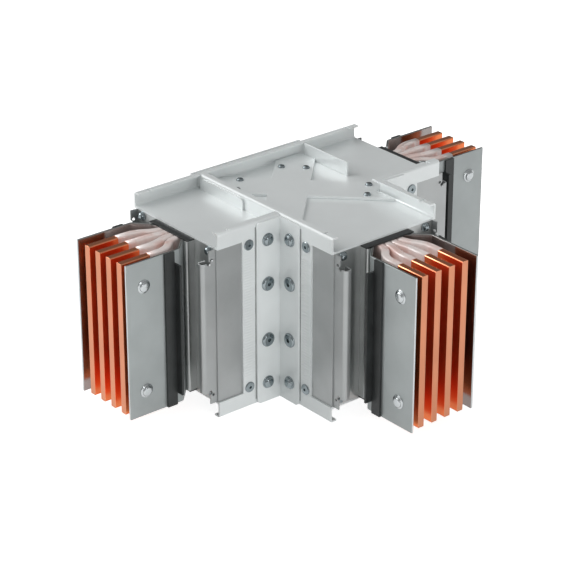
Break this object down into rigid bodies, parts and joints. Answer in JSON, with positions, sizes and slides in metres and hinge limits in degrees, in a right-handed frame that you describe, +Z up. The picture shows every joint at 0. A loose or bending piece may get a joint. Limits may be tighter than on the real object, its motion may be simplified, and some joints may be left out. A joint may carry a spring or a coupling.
{
  "type": "busway tee section",
  "caption": "Tee-shaped busway fitting with a painted sheet casing and copper bars whose bare ends stand out of each arm.",
  "frame": {"origin": "bottom centre of the whole section, under the far side of the run", "axes": "+X along the straight run, +Y away from the branch, +Z up across the width of the bars"},
  "size_m": [0.487, 0.316, 0.2082],
  "materials": {
    "white_paint": "satin powder coat",
    "grey_paint": "satin powder coat",
    "black_parts": "matt black",
    "earth_metal": "rolled, zinc grey",
    "copper": "bare rolled copper",
    "film": "milky insulating film",
    "zinc": "bright zinc"
  },
  "bodies": {
    "root": {"back_cover": "white_paint", "bottom_cross_plate": "white_paint", "bottom_elbow_tray": "white_paint", "bottom_insulating_board": "black_parts", "bottom_left_tray": "white_paint", "bottom_right_flap": "white_paint", "bracket_bolts": "zinc", "branch_bar_1": "copper", "branch_bar_2": "copper", "branch_bar_3": "copper", "branch_bar_4": "copper", "branch_bar_film": "film", "branch_earth_plate_a": "earth_metal", "branch_earth_plate_b": "earth_metal", "branch_end_closures": "black_parts", "branch_end_profile_a": "grey_paint", "branch_end_profile_b": "grey_paint", "branch_stop_angles": "black_parts", "cross_plate_screws": "zinc", "earth_rivets": "zinc", "end_screws": "zinc", "far_side_panel": "grey_paint", "far_stack_cover": "black_parts", "junction_core": "copper", "left_arm_earth_plate_a": "earth_metal", "left_arm_earth_plate_b": "earth_metal", "left_arm_end_closures": "black_parts", "left_arm_end_profile_a": "grey_paint", "left_arm_end_profile_b": "grey_paint", "left_arm_stop_angles": "black_parts", "left_branch_side_panel": "grey_paint", "left_corner_bracket": "white_paint", "left_corner_plate": "white_paint", "left_run_side_panel": "grey_paint", "left_stack_cover": "black_parts", "right_arm_earth_plate_a": "earth_metal", "right_arm_earth_plate_b": "earth_metal", "right_arm_end_closures": "black_parts", "right_arm_end_profile_a": "grey_paint", "right_arm_end_profile_b": "grey_paint", "right_arm_stop_angles": "black_parts", "right_branch_side_panel": "grey_paint", "right_corner_bracket": "white_paint", "right_corner_plate": "white_paint", "right_run_side_panel": "grey_paint", "right_stack_cover": "black_parts", "run_bar_1": "copper", "run_bar_2": "copper", "run_bar_3": "copper", "run_bar_4": "copper", "run_bar_film": "film", "side_screws": "zinc", "top_cross_plate": "white_paint", "top_elbow_tray": "white_paint", "top_insulating_board": "black_parts", "top_left_tray": "white_paint", "top_right_flap": "white_paint"}
  },
  "joints": []
}
